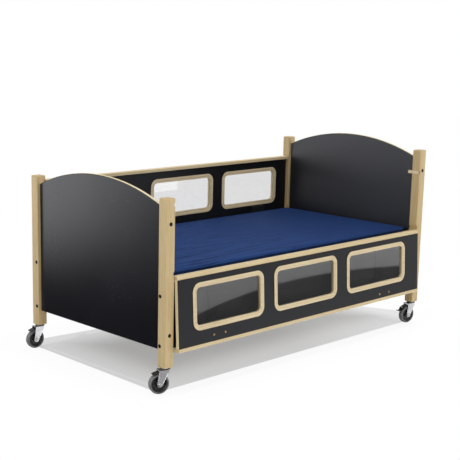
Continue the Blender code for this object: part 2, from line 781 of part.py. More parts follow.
def lever_mesh():
    """Brake lever about its pivot: a boss, a short band and a tab."""
    width = FORK_INNER_WIDTH - 2 * EAR_THICKNESS - 4 * GAP
    tip = GUARD_OUTER + LEVER_REACH
    slant = math.radians(2.0)
    outline = arc((0.0, 0.0), GUARD_OUTER, LEVER_PIVOT, LEVER_TAB, 4)
    outline += [polar(tip, LEVER_TAB - slant), polar(tip, LEVER_TAB - 3 * slant)]
    outline += arc((0.0, 0.0), GUARD_INNER, LEVER_TAB - 2 * slant, LEVER_PIVOT, 4)
    band = upright(plate_mesh([outline], width))
    boss = upright(plate_mesh([knob_outline(EAR_RADIUS - GAP)], width))
    lever = boolean_mesh(band, boss, "UNION")
    x, z = polar(GUARD_MIDDLE, LEVER_PIVOT)
    lever.transform(Matrix.Translation((-x, 0.0, -z)))
    return lever


def along_axle(mesh):
    """Lay a turned mesh along the axle."""
    mesh.transform(basis((0, 0, -1), (0, 1, 0), (0, 0, 0)))
    return mesh


def flat_down(mesh):
    """Lay a turned mesh along the axle, with a flat of its polygon down."""
    mesh.transform(Matrix.Rotation(math.pi / WHEEL_STEPS, 4, "Z"))
    return along_axle(mesh)


def tyre_mesh():
    outer = flats(WHEEL_RADIUS, WHEEL_STEPS)
    inner = flats(WHEEL_RADIUS - TYRE_THICKNESS + GAP, WHEEL_STEPS)
    half = WHEEL_WIDTH / 2
    profile = [(outer - TREAD_ROUND, half), (outer, half - TREAD_ROUND),
               (outer, TREAD_ROUND - half), (outer - TREAD_ROUND, -half),
               (inner, -half), (inner, half)]
    return flat_down(turned_mesh(profile, WHEEL_STEPS, ring=True))


def hub_mesh():
    outer = flats(WHEEL_RADIUS - TYRE_THICKNESS, WHEEL_STEPS)
    bore = flats(AXLE_RADIUS + GAP, WHEEL_STEPS)
    half = HUB_WIDTH / 2
    boss = FORK_INNER_WIDTH / 2 - GAP
    dish = half - HUB_DISH
    profile = [(HUB_BOSS_RADIUS, boss), (HUB_BOSS_RADIUS, dish), (outer - HUB_DISH, half),
               (outer, half), (outer, -half), (outer - HUB_DISH, -half),
               (HUB_BOSS_RADIUS, -dish), (HUB_BOSS_RADIUS, -boss), (bore, -boss), (bore, boss)]
    return flat_down(turned_mesh(profile, WHEEL_STEPS, ring=True))


def axle_mesh():
    seat = FORK_INNER_WIDTH / 2 + FORK_SHEET + GAP
    end = seat + AXLE_HEAD
    profile = [(0.0, end), (AXLE_HEAD_RADIUS, end), (AXLE_HEAD_RADIUS, seat),
               (AXLE_RADIUS, seat), (AXLE_RADIUS, -seat), (AXLE_HEAD_RADIUS, -seat),
               (AXLE_HEAD_RADIUS, -end), (0.0, -end)]
    return along_axle(turned_mesh(profile, TURNED_STEPS))


def build_casters():
    axle_place = Vector((TRAIL, 0.0, WHEEL_RADIUS))
    x, z = polar(GUARD_MIDDLE, LEVER_PIVOT)
    lever_place = axle_place + Vector((x, 0.0, z))
    lever = lever_mesh()
    braked_guard, plain_guard = guard_mesh(), plain_guard_mesh()
    pieces = (("fork", fork_mesh(), plated_steel, Vector()),
              ("axle", axle_mesh(), plated_steel, axle_place),
              ("guard", None, black_plastic, axle_place),
              ("hub", hub_mesh(), black_plastic, axle_place),
              ("tyre", tyre_mesh(), grey_rubber, axle_place))
    for name, (sx, sy, _) in POSTS.items():
        caster = name + "_caster"
        turn = Matrix.Rotation(CASTER_HEADINGS[name], 4, "Z")
        swivel = add_empty(caster + "_swivel", bed,
                           Matrix.Translation((sx * POST_X, sy * POST_Y, 0.0)) @ turn)
        guard = braked_guard if sx > 0 else plain_guard
        for piece, mesh, finish, place in pieces:
            mesh = mesh or guard
            part_name = f"{caster}_{piece}"
            smooth(add_part(part_name, mesh, finish(part_name + "_finish"), swivel, place))
        if sx > 0:
            part_name = caster + "_brake_lever"
            brake = add_part(part_name, lever, black_plastic(part_name + "_finish"),
                             swivel, lever_place)
            # At rest the lever is turned up, clear of the tyre.
            brake.rotation_euler = (0.0, -LEVER_TRAVEL, 0.0)
            smooth(brake)


def centre_on_footprint():
    """Shift the bed so that its outline is centred on the origin."""
    bpy.context.view_layer.update()
    depsgraph = bpy.context.evaluated_depsgraph_get()
    corners = []
    for obj in parts.objects:
        if obj.type == "MESH":
            final = obj.evaluated_get(depsgraph)
            corners += [obj.matrix_world @ vertex.co for vertex in final.data.vertices]
    low = Vector([min(corner[i] for corner in corners) for i in range(3)])
    high = Vector([max(corner[i] for corner in corners) for i in range(3)])
    bed.location = Vector((-(low.x + high.x) / 2, -(low.y + high.y) / 2, -low.z))
    bpy.context.view_layer.update()
    print("outline", [round(v, 6) for v in high - low],
          "shift", [round(v, 6) for v in bed.location])


clear_scene()
parts = new_collection("safety_bed")
cutters = new_collection("cutters")
bed = add_empty("bed_frame")
build_posts()
build_keepers()
build_rails()
build_end_panels()
build_battens()
build_deck()
build_mattress()
build_side_panels()
build_casters()
centre_on_footprint()
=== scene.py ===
"""Safety bed: the finishes and fine surfaces of a wooden care bed on casters."""
import math

import bpy
import numpy as np
from mathutils import Matrix, Vector


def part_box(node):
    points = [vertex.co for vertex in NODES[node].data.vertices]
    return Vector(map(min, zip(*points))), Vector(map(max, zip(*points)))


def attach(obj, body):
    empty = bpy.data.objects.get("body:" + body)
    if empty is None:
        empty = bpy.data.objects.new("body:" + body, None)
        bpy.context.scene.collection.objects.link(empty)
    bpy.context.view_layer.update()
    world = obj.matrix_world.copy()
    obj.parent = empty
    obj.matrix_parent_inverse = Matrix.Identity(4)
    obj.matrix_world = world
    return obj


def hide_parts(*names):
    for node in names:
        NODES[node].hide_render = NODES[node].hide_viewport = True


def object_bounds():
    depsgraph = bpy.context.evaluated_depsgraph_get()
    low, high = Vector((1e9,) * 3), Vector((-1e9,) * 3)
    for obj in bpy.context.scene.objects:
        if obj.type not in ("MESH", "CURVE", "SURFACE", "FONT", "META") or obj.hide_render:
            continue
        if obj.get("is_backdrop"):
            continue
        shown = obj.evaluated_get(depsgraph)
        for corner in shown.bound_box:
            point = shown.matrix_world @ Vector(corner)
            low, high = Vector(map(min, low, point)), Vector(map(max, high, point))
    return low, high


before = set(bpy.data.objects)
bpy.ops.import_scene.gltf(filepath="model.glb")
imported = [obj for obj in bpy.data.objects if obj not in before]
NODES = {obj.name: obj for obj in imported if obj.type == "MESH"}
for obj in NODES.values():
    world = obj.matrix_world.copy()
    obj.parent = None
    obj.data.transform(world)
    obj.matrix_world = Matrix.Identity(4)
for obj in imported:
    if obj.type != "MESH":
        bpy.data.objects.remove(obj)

bl_info = {
    "name": "Safety bed",
    "version": (1, 0, 0),
    "blender": (4, 5, 0),
    "location": "3D View > Sidebar > Safety bed",
    "description": "Finishes, windows, mattress, casters and studio of a care bed",
    "category": "Object",
}

ENDS = ("foot", "head")
SIDES = ("front", "back")
CORNERS = [end + "_" + side for end in ENDS for side in SIDES]


def put(target, settings):
    """Give a thing several settings by their names."""
    for name, value in settings.items():
        setattr(target, name, value)


# Shader maths

class Signal:
    """One output of a node, or a chain of sums on it, in a material's shader."""

    def __init__(self, tree, socket):
        self.tree = tree
        self.socket = socket

    def node(self, kind, inputs=None, output=0, **settings):
        """Add any node: its settings first, then its sockets' values or links."""
        new = self.tree.nodes.new(kind)
        put(new, settings)
        for key, value in (inputs or {}).items():
            if isinstance(value, Signal):
                self.tree.links.new(value.socket, new.inputs[key])
            else:
                new.inputs[key].default_value = value
        return Signal(self.tree, new.outputs[output])

    def maths(self, operation, first, second=None, clamp=False):
        """A Math node on one or two values or signals."""
        inputs = {0: first} if second is None else {0: first, 1: second}
        return self.node("ShaderNodeMath", inputs, operation=operation, use_clamp=clamp)

    def __add__(self, other):
        return self.maths("ADD", self, other)

    def __radd__(self, other):
        return self.maths("ADD", other, self)

    def __sub__(self, other):
        return self.maths("SUBTRACT", self, other)

    def __rsub__(self, other):
        return self.maths("SUBTRACT", other, self)

    def __mul__(self, other):
        return self.maths("MULTIPLY", self, other)

    def __rmul__(self, other):
        return self.maths("MULTIPLY", other, self)

    def __pow__(self, other):
        return self.maths("POWER", self, other)

    def __gt__(self, other):
        return self.maths("GREATER_THAN", self, other)

    def __abs__(self):
        return self.maths("ABSOLUTE", self)

    def sine(self):
        return self.maths("SINE", self)

    def at_least(self, other):
        return self.maths("MAXIMUM", self, other)

    def clamped(self):
        """This, kept between 0 and 1."""
        return self.maths("ADD", self, 0.0, clamp=True)

    def ramp(self, low, high, first=0.0, last=1.0):
        """A smooth step from first to last as this goes from low to high."""
        return self.node("ShaderNodeMapRange", {0: self, 1: low, 2: high, 3: first, 4: last},
                         interpolation_type="SMOOTHSTEP")

    def axis(self, index):
        """One coordinate of a vector."""
        return self.node("ShaderNodeSeparateXYZ", {0: self}, output=index)

    def scaled(self, x, y, z):
        """A vector scaled along each axis, for a finer or longer pattern."""
        return self.node("ShaderNodeVectorMath", {0: self, 1: (x, y, z)}, operation="MULTIPLY")

    def drawn_out(self, index, along, across):
        """A vector scaled one way along one axis, and another way across it."""
        return self.scaled(*[along if i == index else across for i in range(3)])

    def noise(self, scale, detail=3.0, roughness=0.55, distortion=0.0):
        return self.node("ShaderNodeTexNoise",
                         {"Vector": self, "Scale": scale, "Detail": detail,
                          "Roughness": roughness, "Distortion": distortion})

    def blend(self, first, second):
        """A colour between two, with this as the share of the second."""
        return self.node("ShaderNodeMix", {0: self, 6: first, 7: second}, output=2,
                         data_type="RGBA")


def signals(tree, kind, *names):
    """The named outputs of a new node that takes no inputs."""
    new = tree.nodes.new(kind)
    return [Signal(tree, new.outputs[name]) for name in names]


def colour_of(red, green, blue):
    """A linear colour from one given in the 0 to 255 steps of a screen."""
    steps = np.array((red, green, blue)) / 255.0
    linear = np.where(steps <= 0.04045, steps / 12.92, ((steps + 0.055) / 1.055) ** 2.4)
    return (*linear.tolist(), 1.0)


def toned(colour, share, lift=0.0):
    """A colour with its channels multiplied by one share, or by three, and then lifted."""
    channels = np.minimum(np.array(colour[:3]) * share + lift, 1.0)
    return (*channels.tolist(), 1.0)


def new_finish(name, colour, roughness, **fixed):
    """A material, its shader, and a Signal of the object's coordinates."""
    material = bpy.data.materials.new(name)
    material.use_nodes = True
    tree = material.node_tree
    shader = tree.nodes["Principled BSDF"]
    shader.inputs["Base Color"].default_value = colour
    shader.inputs["Roughness"].default_value = roughness
    for socket, value in fixed.items():
        shader.inputs[socket.replace("_", " ")].default_value = value
    material.diffuse_color = colour
    return material, shader, *signals(tree, "ShaderNodeTexCoord", "Object")


def feed(shader, socket, signal):
    """Link a signal to one of a shader's sockets."""
    signal.tree.links.new(signal.socket, shader.inputs[socket])


def relief(shader, height, distance, strength=1.0):
    """Feed a height, in metres at distance 1, to the shader's normal."""
    feed(shader, "Normal", height.node("ShaderNodeBump", {"Height": height, "Strength": strength,
                                                          "Distance": distance}))


def facing(place, index):
    """1 where a surface faces along an axis, either way, and 0 elsewhere."""
    normal = place.node("ShaderNodeNewGeometry", output=1)
    return abs(normal.axis(index)) > 0.7


# Finishes

SHOE_BLACK = (0.008, 0.008, 0.008, 1.0)
# How far under its panel's top edge a bottom cap ends; its shoes stand up past it.
SHOE_LINE = 0.3488
PLY_LAYER = 0.0030
EDGE_ROUGHNESS = 0.54
# The end panels' laminate is darker and bluer than the side boards'.
END_TINT = (0.5, 0.52, 0.7)


def wood_finish(name, grain, pale, dark, roughness=0.48, shod_side=None):
    """Lacquered timber with fibres along one axis, and black shoes on a shod side."""
    material, shader, place = new_finish(name, pale, roughness, Specular_IOR_Level=0.3)
    fibre = place.drawn_out(grain, 1.1, 28.0)
    broad = place.drawn_out(grain, 0.45, 3.0)
    streaks = fibre.noise(4.0, 5.0, 0.62, 0.25)
    figure = broad.noise(2.4, 3.0, 0.5, 1.4)
    rings = abs((figure * 58.0).sine())
    pores = fibre.noise(17.0, 2.0, 0.5) > 0.62
    tone = place.scaled(0.9, 1.7, 1.3).noise(1.3, 1.0)
    share = (streaks.ramp(0.34, 0.72) * 0.52 + rings ** 3.0 * 0.16 + tone.ramp(0.3, 0.7) * 0.16
             + pores * 0.10).clamped()
    body = share.blend(pale, dark)
    centre = place.drawn_out(grain, 0.0, 1.0)
    arcs = centre.node("ShaderNodeTexWave",
                       {"Vector": centre, "Scale": 34.0, "Distortion": 2.6, "Detail": 2.0,
                        "Detail Scale": 1.5}, output=1,
                       wave_type="RINGS", rings_direction="SPHERICAL")
    end = (arcs * 0.35 + 0.45).clamped().blend(pale, dark)
    colour = facing(place, grain).blend(body, end)
    if shod_side:
        colour = on_shoes(place, shod_side).blend(colour, SHOE_BLACK)
    feed(shader, "Base Color", colour)
    feed(shader, "Roughness", roughness - 0.07 + streaks * 0.14)
    relief(shader, streaks * 0.6 + pores * -0.5, 0.00025, 0.5)
    return material


def on_shoes(place, side):
    """1 on a bottom cap's runner shoes, which stand up past the cap's own thickness."""
    matrix = panel_frame(side)
    up = matrix.col[1].to_3d()
    height = place.node("ShaderNodeVectorMath", {0: place, 1: up}, output=1,
                        operation="DOT_PRODUCT")
    return height > up.dot(matrix.translation) - SHOE_LINE


def laminate_finish(name, thickness, gloss, shine, black, edge_pale, edge_dark):
    """Black laminate on both faces of a ply board, whose edge shows its layers."""
    material, shader, place = new_finish(name, black, gloss, Specular_IOR_Level=shine,
                                         Specular_Tint=(0.93, 0.95, 1.0, 1.0))
    face = facing(place, thickness)
    layers = abs((place.axis(thickness) * (math.pi / PLY_LAYER)).sine())
    fibre = place.scaled(9.0, 9.0, 9.0).noise(9.0, 4.0, 0.6)
    ply = ((layers ** 4.0) * 0.30 + fibre.ramp(0.35, 0.75) * 0.35).clamped()
    edge = ply.blend(edge_pale, edge_dark)
    haze = place.noise(2.2, 2.0).ramp(0.3, 0.7)
    scuffs = place.scaled(1.0, 1.0, 7.0).noise(38.0, 2.0, 0.4).ramp(0.60, 0.78)
    skin = (haze * 0.5 + scuffs * 0.12).blend(black, toned(black, 1.35))
    feed(shader, "Base Color", face.blend(edge, skin))
    polish = gloss - EDGE_ROUGHNESS + haze * 0.03 + scuffs * 0.015
    feed(shader, "Roughness", face * polish + EDGE_ROUGHNESS)
    relief(shader, face * place.noise(260.0, 1.0), 0.00004, 0.2)
    return material


def plastic_finish(name, colour, roughness, scale=420.0, **fixed):
    """Moulded plastic or rubber with a fine pebbled skin and a dusty bloom."""
    material, shader, place = new_finish(name, colour, roughness, **fixed)
    bloom = place.noise(46.0, 3.0).ramp(0.35, 0.75)
    feed(shader, "Base Color", (bloom * 0.5).blend(colour, toned(colour, 1.5, 0.008)))
    feed(shader, "Roughness", roughness - 0.05 + bloom * 0.12)
    relief(shader, place.noise(scale, 2.0), 0.00012, 0.5)
    return material


def metal_finish(name, colour, roughness, metallic=1.0):
    """Plated steel with drawn marks and darker spots."""
    material, shader, place = new_finish(name, colour, roughness, Metallic=metallic)
    drawn = place.scaled(1.0, 1.0, 9.0).noise(160.0, 2.0)
    spots = place.noise(70.0, 3.0).ramp(0.35, 0.8)
    feed(shader, "Base Color", (spots * 0.6).blend(colour, toned(colour, 0.72)))
    feed(shader, "Roughness", roughness - 0.06 + drawn * 0.12 + spots * 0.08)
    relief(shader, drawn, 0.00008, 0.4)
    return material


def dress(finish, *names):
    """Give CAD nodes a material, in every slot that they have."""
    for name in names:
        mesh = NODES[name].data
        mesh.materials.clear()
        mesh.materials.append(finish)


# Surfaces

def new_object(name, data):
    """An object in the scene, for a mesh, a lamp or the camera."""
    obj = bpy.data.objects.new(name, data)
    bpy.context.scene.collection.objects.link(obj)
    return obj


def mesh_object(name, points, quads, finish, body=None, smooth=True):
    """An object from a whole array of points and one of quads."""
    mesh = bpy.data.meshes.new(name)
    mesh.from_pydata(points.reshape(-1, 3).tolist(), [], quads.reshape(-1, 4).tolist())
    mesh.validate()
    if smooth:
        mesh.shade_smooth()
        mesh.set_sharp_from_angle(angle=math.radians(38))
    mesh.materials.append(finish)
    obj = new_object(name, mesh)
    if body:
        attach(obj, body)
    return obj


def points_of(mesh):
    """A mesh's points as one whole array."""
    points = np.empty(len(mesh.vertices) * 3)
    mesh.vertices.foreach_get("co", points)
    return points.reshape(-1, 3)


def circle(steps):
    """Evenly spaced angles once round."""
    return np.linspace(0.0, 2 * math.pi, steps, endpoint=False)


def grid_quads(rows, columns, close_rows=False, close_columns=False):
    """Quads between the points of a grid, which may close on itself either way."""
    i = np.arange(rows if close_rows else rows - 1)[:, None]
    j = np.arange(columns if close_columns else columns - 1)[None, :]
    i2, j2 = (i + 1) % rows, (j + 1) % columns
    corner = np.stack(np.broadcast_arrays(i * columns + j, i * columns + j2,
                                          i2 * columns + j2, i2 * columns + j), -1)
    return corner.reshape(-1, 4)


def through(matrix, points):
    """Points carried by a 4 by 4 matrix."""
    m = np.array(matrix)
    return points @ m[:3, :3].T + m[:3, 3]


def lathe(name, profile, finish, place, body, steps, ring=False):
    """A profile of (radius, height) turned round Z: closed as a ring, or by its ends on Z."""
    profile = np.array(profile)
    r, h = np.maximum(profile[:, :1], 1e-5), profile[:, 1:]
    angle = circle(steps)
    points = np.stack(np.broadcast_arrays(r * np.cos(angle), r * np.sin(angle), h), -1)
    quads = grid_quads(len(profile), steps, ring, True)
    return mesh_object(name, through(place, points), quads, finish, body)


def rounded(corners, radius, steps):
    """A profile with each of its corners rounded by a quadratic curve."""
    corners = np.array(corners, dtype=float)
    ends = []
    for way in (1, -1):
        side = np.roll(corners, way, 0) - corners
        reach = np.minimum(radius / np.linalg.norm(side, axis=1, keepdims=True), 0.49)
        ends.append((corners + side * reach)[:, None])
    t = np.linspace(0.0, 1.0, steps)[None, :, None]
    curve = (1 - t) ** 2 * ends[0] + 2 * t * (1 - t) * corners[:, None] + t ** 2 * ends[1]
    return curve.reshape(-1, 2)


def round_path(width, height, radius, steps=14):
    """Points and outward directions round a rectangle with arcs for corners."""
    hx, hy = width / 2 - radius, height / 2 - radius
    points, normals = [], []
    for quarter, middle in enumerate(((hx, hy), (-hx, hy), (-hx, -hy), (hx, -hy))):
        angle = np.linspace(quarter, quarter + 1, steps) * (math.pi / 2)
        normal = np.stack([np.cos(angle), np.sin(angle)], -1)
        points.append(np.array(middle) + radius * normal)
        normals.append(normal)
    return np.concatenate(points), np.concatenate(normals)


def along_path(path, profile):
    """Carry a profile of (lap outwards, height) points round a flat path."""
    points, normals = path
    flat = points + profile[:, 0, None, None] * normals
    high = np.broadcast_to(profile[:, 1, None, None], (*flat.shape[:2], 1))
    return np.concatenate([flat, high], -1)


# Places taken from the CAD frame

LEAN = math.radians(3.3)
# The bed's middle on the floor, which the frame shifts off its origin.
SHIFT = sum(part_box("deck_board"), Vector()) / 2
SHIFT.z = 0.0
# A side panel's outer face at its top edge, at the end where its own X starts.
FRONT_TOP = Vector((-0.967, -0.542, 0.568))
BACK_TOP = Vector((0.967, 0.5145, 0.9113))


def panel_frame(side):
    """A side panel's own axes: X along it, Y up its face and Z out of it."""
    turn, lean, origin = (1, LEAN, FRONT_TOP) if side == "front" else (-1, 0.0, BACK_TOP)
    along, up = Vector((turn, 0.0, 0.0)), Vector((0.0, math.sin(lean), math.cos(lean)))
    matrix = Matrix((along, up, along.cross(up))).transposed().to_4x4()
    matrix.translation = origin + SHIFT
    return matrix


def caster_frame(corner):
    """A caster's own axes: X along its trail, Y along its axle, from under its post."""
    low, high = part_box(corner + "_post")
    axle = sum(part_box(corner + "_caster_axle"), Vector()) / 2
    middle = (low + high) / 2
    along = Vector((axle.x - middle.x, axle.y - middle.y, 0.0)).normalized()
    across = Vector((0.0, 0.0, 1.0)).cross(along)
    matrix = Matrix((along, across, Vector((0.0, 0.0, 1.0)))).transposed().to_4x4()
    matrix.translation = Vector((middle.x, middle.y, 0.0))
    return matrix


def looking_along(axis, place):
    """A matrix whose Z is the given axis, for turned pieces."""
    matrix = Vector(axis).to_track_quat("Z", "Y").to_matrix().to_4x4()
    matrix.translation = Vector(place)
    return matrix


# Sizes and colours

def colour_prop(name, description, *steps):
    """A colour that a user may change, given in the 0 to 255 steps of a screen."""
    return bpy.props.FloatVectorProperty(
        name=name, description=description, subtype="COLOR", size=4, min=0.0, max=1.0,
        default=colour_of(*steps))


def length_prop(name, description, default):
    """A length in metres that a user may change."""
    return bpy.props.FloatProperty(name=name, description=description, default=default,
                                   unit="LENGTH", min=0.0)


class SafetyBedFinishes(bpy.types.PropertyGroup):
    """Colours of the bed's timber, laminate, cover and casters."""

    wood_pale: colour_prop("Pale timber", "Lighter colour of the timber", 207, 183, 137)
    wood_dark: colour_prop("Timber grain", "Darker colour of its fibres", 180, 153, 106)
    cap_pale: colour_prop("Pale caps", "Lighter colour of the caps", 219, 199, 158)
    cap_dark: colour_prop("Cap grain", "Darker colour of the caps", 198, 176, 132)
    frame_pale: colour_prop("Pale frames", "Lighter colour of the window frames", 226, 208, 172)
    frame_dark: colour_prop("Frame grain", "Darker colour of the window frames", 200, 178, 138)
    edge_pale: colour_prop("Board edge", "Lighter layers of a board's edge", 232, 216, 176)
    edge_dark: colour_prop("Board edge layers", "Darker layers of a board's edge", 204, 182, 136)
    laminate: colour_prop("Laminate", "Laminate on the boards", 20, 20, 22)
    cover: colour_prop("Mattress cover", "Cloth of the mattress", 38, 65, 118)
    tyre: colour_prop("Tyres", "Grey rubber of the tyres", 104, 104, 104)
    plastic: colour_prop("Caster plastic", "Hubs, guards and levers", 12, 12, 13)
    steel: colour_prop("Plated steel", "Forks and axles", 188, 188, 190)
    screw: colour_prop("Cap screws", "Screws along the caps", 120, 98, 66)
    brass: colour_prop("Board screws", "Screws in the side boards", 176, 138, 74)


class SafetyBedSizes(bpy.types.PropertyGroup):
    """Sizes of the fine shapes that the bed's surfaces take."""

    window_height: length_prop("Window height", "Height of a window frame's outer edge", 0.233)
    frame_face: length_prop("Frame face", "Width of a window frame's face", 0.024)
    frame_proud: length_prop("Frame stand", "How far a frame stands off its board", 0.003)
    frame_step: length_prop("Frame step", "Width of the lower step round the pane", 0.006)
    frame_corner: length_prop("Frame corner", "Radius of a frame's outer corners", 0.047)
    board: length_prop("Board", "Thickness of the side boards", 0.018)
    seam_cord: length_prop("Seam cord", "Radius of the piped seams", 0.0035)
    ripple: length_prop("Ripples", "Height of the cover's long ripples", 0.0016)
    swell: length_prop("Swell", "How far the cover may swell", 0.006)
    bolt_radius: length_prop("Bolt head", "Radius of the posts' bolt heads", 0.0097)
    cap_screw: length_prop("Cap screw", "Radius of the caps' screw heads", 0.0048)
    board_screw: length_prop("Board screw", "Radius of the boards' screw heads", 0.0056)
    keeper_screw: length_prop("Keeper screw", "Radius of the keepers' screw heads", 0.0036)


def sizes():
    """The scene's sizes of the bed's fine shapes."""
    return bpy.context.scene.safety_bed_sizes


def hue(name):
    """One of the bed's colours as plain numbers."""
    return tuple(getattr(bpy.context.scene.safety_bed_finishes, name))


# Windows

def build_frame(side, number, finish):
    """A window frame: a section with a step and a groove round the pane, carried round it."""
    s = sizes()
    node = f"{side}_window_frame_{number}"
    matrix = panel_frame(side)
    low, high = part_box(node)
    centre = matrix.inverted() @ ((low + high) / 2)
    width, face = high.x - low.x, s.frame_face
    path = round_path(width - 2 * face, s.window_height - 2 * face, s.frame_corner - face)
    top, step = s.frame_proud, s.frame_step
    lip, groove_floor, lap, neck = top - 0.0010, 0.0004, 0.0003, 0.013
    front = [(0.0, lip), (step, lip), (step + 0.001, groove_floor),
             (step + 0.0034, groove_floor), (step + 0.0044, top), (face, top), (face, lap),
             (neck, lap)]
    corners = front + [(u, -s.board - v) for u, v in reversed(front)]
    profile = rounded(corners, 0.0008, 3)
    place = matrix @ Matrix.Translation((centre.x, centre.y, 0.0))
    quads = grid_quads(len(profile), len(path[0]), True, True)
    obj = mesh_object(node + "_ring", through(place, along_path(path, profile)), quads[:, ::-1],
                      finish, side + "_panel")
    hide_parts(node)
    return obj


def pane_finish():
    """Clear acrylic, with a fine haze of wiping marks."""
    clear, wiped = (0.80, 0.80, 0.805, 1.0), (0.76, 0.76, 0.765, 1.0)
    material, shader, place = new_finish("clear_acrylic", clear, 0.0, Transmission_Weight=1.0,
                                         IOR=1.49)
    marks = place.scaled(1.0, 1.0, 4.0).noise(30.0, 3.0).ramp(0.45, 0.8)
    feed(shader, "Base Color", marks.blend(clear, wiped))
    return material


# Mattress

def box_shell(counts):
    """Points over the six faces of a unit box, welded, and their quads, facing out."""
    counts = np.array(counts)
    total = counts + 1
    index = -np.ones(total, dtype=int)
    grid = np.stack(np.meshgrid(*[np.arange(n) for n in total], indexing="ij"), -1)
    shell = (grid == 0).any(-1) | (grid == counts).any(-1)
    index[shell] = np.arange(shell.sum())
    points = grid[shell] / counts
    quads = []
    for axis in range(3):
        for end in (0, counts[axis]):
            face = np.take(index, end, axis=axis)
            quad = np.stack([face[:-1, :-1], face[1:, :-1], face[1:, 1:], face[:-1, 1:]], -1)
            quad = quad.reshape(-1, 4)
            flip = (end == 0) != (axis == 1)
            quads.append(quad[:, ::-1] if flip else quad)
    return points, np.concatenate(quads)


def mattress_form(points, low, high, rounding):
    """Crowned box: its vertical corners are rounded, its sides draw in between their edges."""
    half = (high - low) / 2
    corner, crown, draw_in, rim = 0.045, 0.003, 0.007, 0.003
    p = (points - 0.5) * 2
    # The cells are finer towards the edges than in the middle.
    p[:, :2] *= 1.35 - 0.35 * p[:, :2] ** 2
    x, y, z = (p[:, i] * half[i] for i in range(3))
    qx, qy = np.abs(x) - (half[0] - corner), np.abs(y) - (half[1] - corner)
    inside = (qx > 0) & (qy > 0)
    k = np.maximum(qx, qy) / np.maximum(np.hypot(qx, qy), 1e-9)
    x = np.where(inside, np.sign(x) * (half[0] - corner + qx * k), x)
    y = np.where(inside, np.sign(y) * (half[1] - corner + qy * k), y)
    # The top and bottom bulge a little, and fall away towards their edges.
    u, v = x / half[0], y / half[1]
    bulge = (1 - np.abs(u) ** 10) * (1 - np.abs(v) ** 6)
    level = z / half[2]
    z = z - np.sign(level) * np.abs(level) ** 8 * crown * (1 - bulge)
    edge = np.minimum(half[0] - np.abs(x), half[1] - np.abs(y))
    inset = np.clip(1 - edge / rounding, 0.0, 1.0)
    arc = rounding * (1 - np.sqrt(1 - (0.97 * inset) ** 2))
    z = z - np.sign(level) * np.abs(level) ** 8 * arc
    # Sides draw in between the two seams.
    draw = draw_in * (1 - level ** 4) + rim * np.abs(level) ** 24
    x = x - np.sign(x) * draw * (np.abs(p[:, 0]) > 0.9999)
    y = y - np.sign(y) * draw * (np.abs(p[:, 1]) > 0.9999)
    return np.stack([x, y, z], -1) + (low + high) / 2


def ripples(x, y, height):
    """Long ripples along the cover: waves across it that wander and die out along it."""
    bend = 0.030 * np.sin(2.1 * x + 0.6) + 0.012 * np.sin(5.3 * x + 7.0 * y)
    phase = (y + bend) * 2 * math.pi
    waves = (0.55 * np.sin(phase / 0.047 + 1.2 * np.sin(3.1 * x))
             + 0.30 * np.sin(phase / 0.029 + 2.0 * np.sin(2.3 * x + 1.0))
             + 0.25 * np.sin(phase / 0.105 + 0.8))
    foot = np.clip((0.15 - x) / 0.85, 0.0, 1.0) ** 1.3
    share = 0.16 + 0.84 * foot * (0.65 + 0.35 * np.sin(9.0 * y + 2.0 * x))
    rim = np.clip((0.955 - np.abs(x)) / 0.08, 0, 1) * np.clip((0.468 - np.abs(y)) / 0.05, 0, 1)
    return height * waves * share * rim


def cover_finish(cover):
    """Coated cloth: a fine knit with long creases in its bump, and painted shade in its colour:
    darker streaks and darker towards the head end.
    """
    material, shader, place = new_finish("coated_cloth", cover, 0.7, Specular_IOR_Level=0.06)
    cloud = place.scaled(0.8, 2.2, 1.0).noise(2.6, 3.0).ramp(0.3, 0.7)
    # Painted shade: besides a little random tone, the cloth darkens towards the head end and the
    # back.
    shade = cloud * 0.15 + (place.axis(0) + place.axis(1) * 0.5).ramp(0.9, -0.7) * 0.85
    # Painted crease shade: long darker streaks in the cloth's colour.
    painted_crease_shade = place.scaled(1.2, 16.0, 1.0).noise(3.2, 4.0, 0.6).ramp(0.42, 0.70)
    cloth = shade.blend(toned(cover, 0.55), cover)
    feed(shader, "Base Color", (painted_crease_shade * shade * 0.85).blend(cloth, toned(cover, 0.35)))
    feed(shader, "Roughness", shade * 0.08 + 0.64)
    knit = place.node("ShaderNodeTexVoronoi", {"Vector": place, "Scale": 620.0})
    crease = place.scaled(1.3, 20.0, 1.0).noise(3.0, 3.0, 0.5)
    relief(shader, crease * 1.6 + knit * 0.10, 0.0030, 0.7)
    return material


COVER_CELLS, COVER_EDGE = (130, 64, 12), 0.014
CLOTH_FRAMES = 20
# How far a seam lies from the mattress's top or bottom.
SEAM_DROP = 0.0150


def blow_up(obj, swell):
    """Swell a closed cover by cloth pressure, and cap how far each point may move."""
    start = points_of(obj.data)
    cloth = obj.modifiers.new("cover", "CLOTH")
    put(cloth.settings, {
        "quality": 4, "mass": 0.3, "tension_stiffness": 25.0, "compression_stiffness": 25.0,
        "shear_stiffness": 8.0, "bending_stiffness": 1.2, "use_pressure": True,
        "uniform_pressure_force": 4.0})
    cloth.settings.effector_weights.gravity = 0.0
    cloth.point_cache.frame_start, cloth.point_cache.frame_end = 1, CLOTH_FRAMES
    scene = bpy.context.scene
    for number in range(1, CLOTH_FRAMES + 1):
        scene.frame_set(number)
    final = obj.evaluated_get(bpy.context.evaluated_depsgraph_get())
    move = points_of(final.data) - start
    obj.modifiers.remove(cloth)
    scene.frame_set(1)
    move -= move.mean(0)
    length = np.linalg.norm(move, axis=1, keepdims=True)
    move *= np.minimum(1.0, swell / np.maximum(length, 1e-9))
    obj.data.vertices.foreach_set("co", (start + move).ravel())
    obj.data.update()


